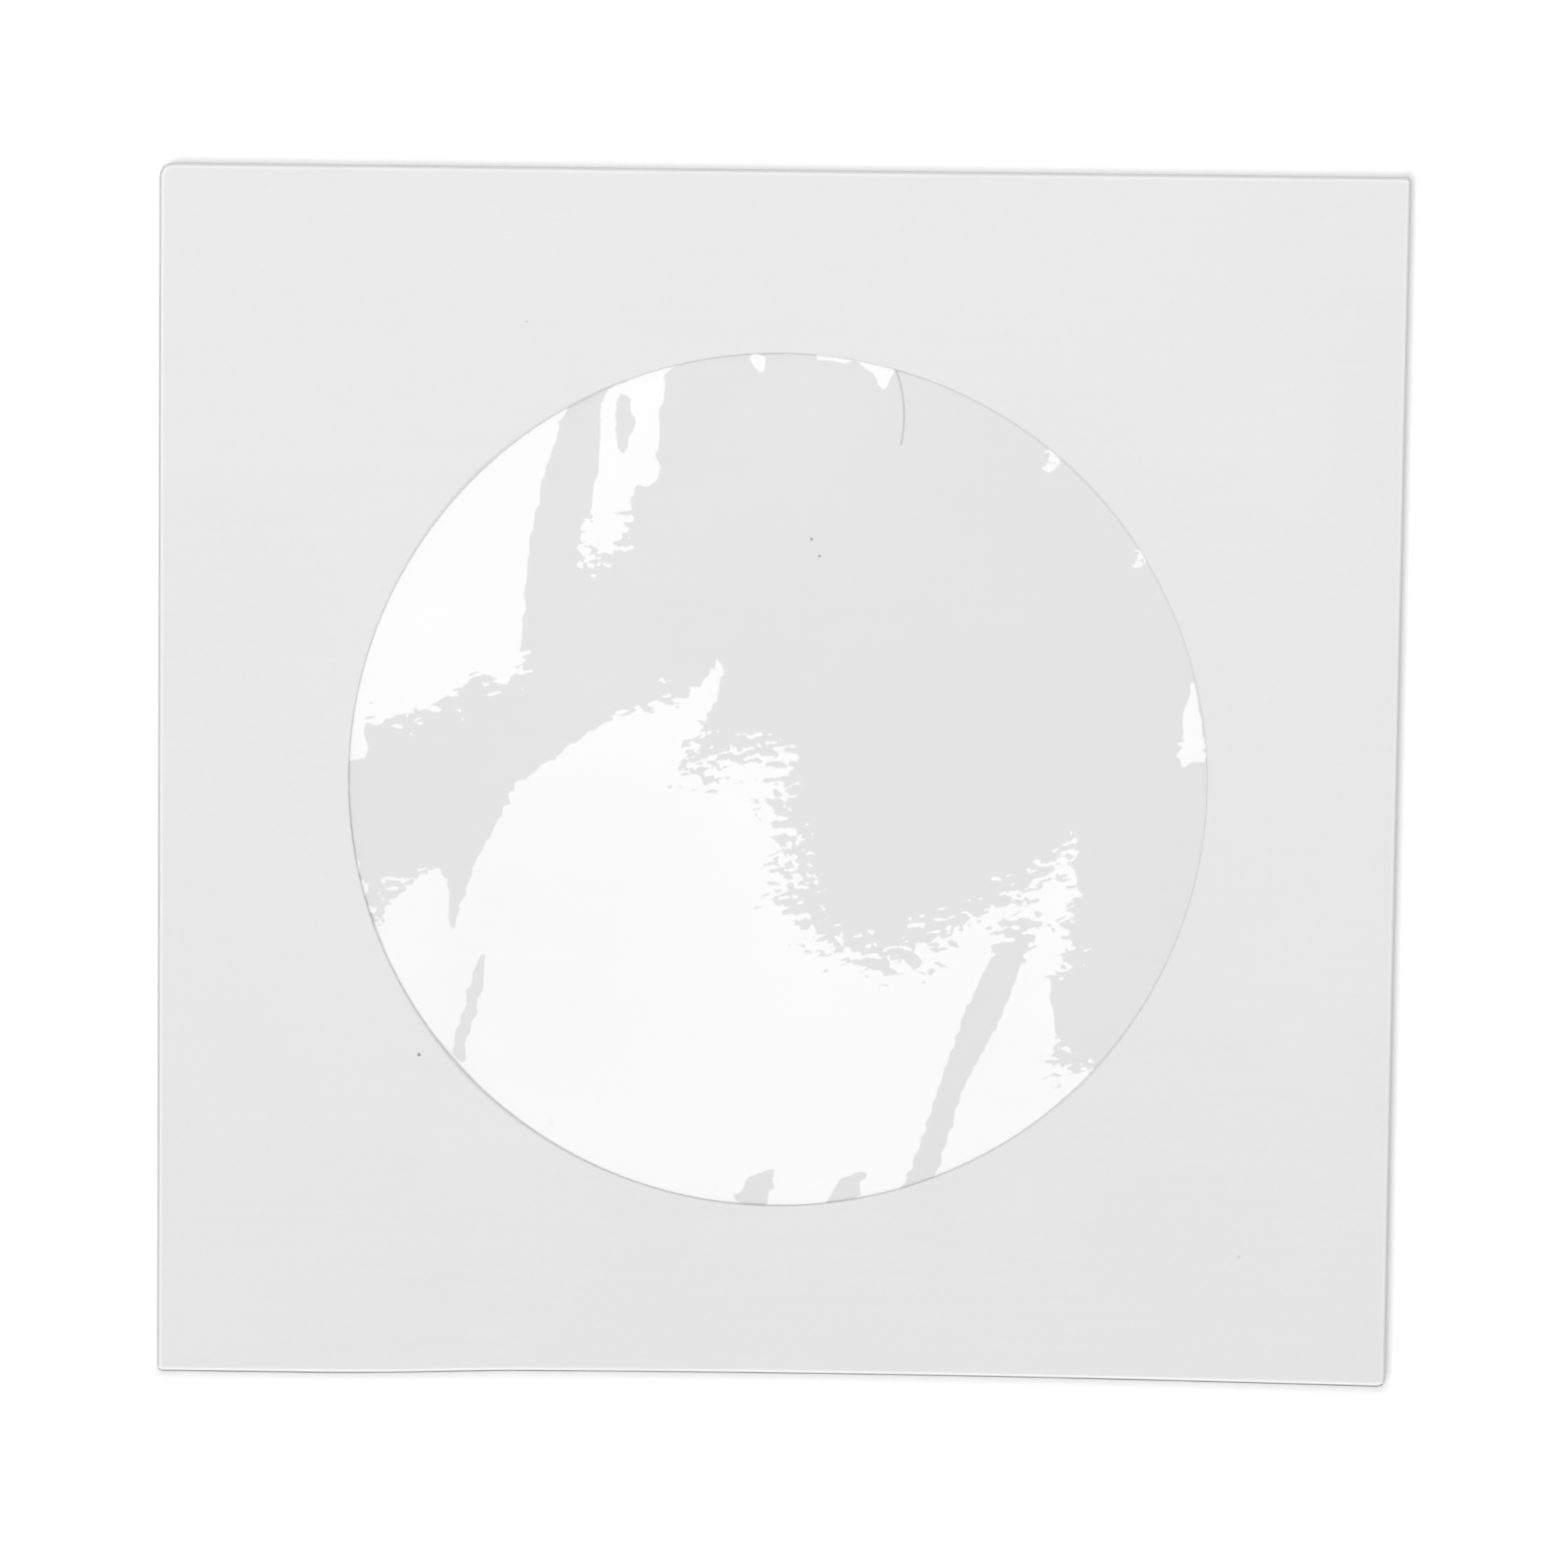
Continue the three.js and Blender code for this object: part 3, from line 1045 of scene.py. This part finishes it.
def film_material():
    n = Nodes("clear_film")
    flat_place = n.flat_place()
    crumpled = n.node("ShaderNodeAttribute", attribute_name="crumpled").outputs["Fac"]
    streaks = n.node(
        "ShaderNodeMapping",
        {
            "Vector": flat_place,
            "Rotation": (0, 0, math.radians(RIPPLE_TURN)),
            "Scale": (RIPPLE_LENGTH, RIPPLE_WIDTH, 1),
        },
        vector_type="TEXTURE",
    ).outputs[0]
    fine = n.node(
        "ShaderNodeTexNoise",
        {"Vector": streaks, "Scale": 1.0, "Detail": 0.8, "Roughness": 0.5, "Distortion": 0.25},
    ).outputs["Fac"]
    clusters = n.between(n.noise(CLUSTER_SCALE, 1.0), *CLUSTER_RANGE)
    strength = n.math("MULTIPLY", crumpled, clusters)
    height = n.math("MULTIPLY", n.math("SUBTRACT", fine, 0.5), strength)
    height = n.math("MULTIPLY", height, FILM_RIPPLE)
    for pixel, reach in DIMPLES:
        height = n.math("MULTIPLY_ADD", nearness(n, flat_place, pixel, reach, 0.0), -DIMPLE_DEPTH, height)
    bump = n.node("ShaderNodeBump", {"Height": height, "Strength": 1.0, "Distance": 1.0})
    facing = n.node("ShaderNodeLayerWeight", {"Blend": 0.5}).outputs["Facing"]
    grazing = n.math("POWER", facing, 5.0)
    mirror = n.math("MULTIPLY_ADD", grazing, 1 - FILM_MIRROR, FILM_MIRROR)
    # Painted shade on the film's reflections: its mirror is dimmed round the given places
    for pixel, reach, share in DIMMED_MIRROR:
        mirror_shade = n.math("MULTIPLY_ADD", nearness(n, flat_place, pixel, reach, 0.2), -share, 1.0)
        mirror = n.math("MULTIPLY", mirror, mirror_shade)
    clear = n.node("ShaderNodeBsdfTransparent", {"Color": (1, 1, 1, 1)})
    gloss = n.node("ShaderNodeBsdfGlossy", {"Roughness": 0.0, "Normal": bump.outputs[0]})
    mixed = n.node("ShaderNodeMixShader", {0: mirror, 1: clear.outputs[0], 2: gloss.outputs[0]})
    marks = n.math("MAXIMUM", specks(n, flat_place, FILM_SPECKS), dark_line(n, flat_place))
    dark = n.node("ShaderNodeBsdfDiffuse", {"Color": (0.1, 0.1, 0.1, 1)})
    marked = n.node("ShaderNodeMixShader", {0: marks, 1: mixed.outputs[0], 2: dark.outputs[0]})
    return n.finish(marked.outputs[0])


def film_underside_material():
    """The film's other side, which only lets light through: film_material mirrors for both sides."""
    n = Nodes("clear_film_underside")
    clear = n.node("ShaderNodeBsdfTransparent", {"Color": (1, 1, 1, 1)})
    return n.finish(clear.outputs[0])


# The floor's grey as light on the object sees it, and its white as the camera does
FLOOR_GREY = 0.9
FLOOR_WHITE = 1.06
FLOOR_GAP = 0.02
FLOOR_HALF = 550.0


def floor_material():
    n = Nodes("floor")
    path = n.node("ShaderNodeLightPath")
    white = n.between(path.outputs["Is Camera Ray"], 0, 1, FLOOR_GREY, FLOOR_WHITE)
    shader = n.node("ShaderNodeBsdfDiffuse", {"Color": n.grey(white)})
    return n.finish(shader.outputs[0])


# The studio


def make_floor():
    bm = bmesh.new()
    bmesh.ops.create_grid(bm, x_segments=1, y_segments=1, size=FLOOR_HALF * MM)
    floor = mesh_object("floor", bm)
    floor.location.z = (BASE - FLOOR_GAP) * MM
    floor.data.materials.append(floor_material())


def area_lamp(name, place, size, radiance, turn=0.0):
    """A rectangular lamp of the given radiance that faces down, turned about the vertical."""
    data = bpy.data.lights.new(name, "AREA")
    data.shape = "RECTANGLE"
    data.size, data.size_y = (value * MM for value in size)
    data.energy = radiance * math.pi * data.size * data.size_y
    lamp = bpy.data.objects.new(name, data)
    lamp.location = [value * MM for value in place]
    lamp.rotation_euler = (0, 0, math.radians(turn))
    bpy.context.scene.collection.objects.link(lamp)


TOP_LAMP_PLACE = (-10.0, 205.0, 500.0)
TOP_LAMP_SIZE = (420.0, 200.0)
TOP_LAMP_RADIANCE = 3.2


def make_lights():
    middle = SOFTBOX_EDGE + SOFTBOX_REACH / 2
    place = (
        middle * SOFTBOX_TOWARDS[0],
        middle * SOFTBOX_TOWARDS[1] + WINDOW_Y,
        FILM_TOP + SOFTBOX_HEIGHT,
    )
    area_lamp(
        "softbox",
        place,
        (SOFTBOX_REACH, SOFTBOX_LENGTH),
        SOFTBOX_RADIANCE,
        turn=SOFTBOX_HEADING,
    )
    area_lamp("top lamp", TOP_LAMP_PLACE, TOP_LAMP_SIZE, TOP_LAMP_RADIANCE)


WORLD_FILL = 0.41


def make_world():
    """White where the camera, a mirror or clear film shows it, and a softer fill light elsewhere."""
    world = bpy.data.worlds.new("studio")
    world.use_nodes = True
    tree = world.node_tree
    tree.nodes.clear()
    output = tree.nodes.new("ShaderNodeOutputWorld")
    light = tree.nodes.new("ShaderNodeBackground")
    light.inputs["Color"].default_value = (1, 1, 1, 1)
    path = tree.nodes.new("ShaderNodeLightPath")
    seen = tree.nodes.new("ShaderNodeMath")
    seen.operation = "MAXIMUM"
    seen_through = tree.nodes.new("ShaderNodeMath")
    seen_through.operation = "MAXIMUM"
    strength = tree.nodes.new("ShaderNodeMapRange")
    strength.inputs["To Min"].default_value = WORLD_FILL
    strength.inputs["To Max"].default_value = 1.0
    tree.links.new(path.outputs["Is Camera Ray"], seen.inputs[0])
    tree.links.new(path.outputs["Is Glossy Ray"], seen.inputs[1])
    tree.links.new(seen.outputs[0], seen_through.inputs[0])
    tree.links.new(path.outputs["Is Transmission Ray"], seen_through.inputs[1])
    tree.links.new(seen_through.outputs[0], strength.inputs["Value"])
    tree.links.new(strength.outputs["Result"], light.inputs["Strength"])
    tree.links.new(light.outputs[0], output.inputs["Surface"])
    bpy.context.scene.world = world


# The scene

waves = Waves()

paper = make_paper(waves)
paper.data.materials.append(paper_material())
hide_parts("paper_envelope")
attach(paper, "root")

film = make_film(waves)
film.data.materials.append(film_material())
film.data.materials.append(film_underside_material())
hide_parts("window_film")
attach(film, "root")

make_floor()
make_lights()
make_world()
bpy.context.scene.view_settings.view_transform = "Standard"

bpy.context.view_layer.update()
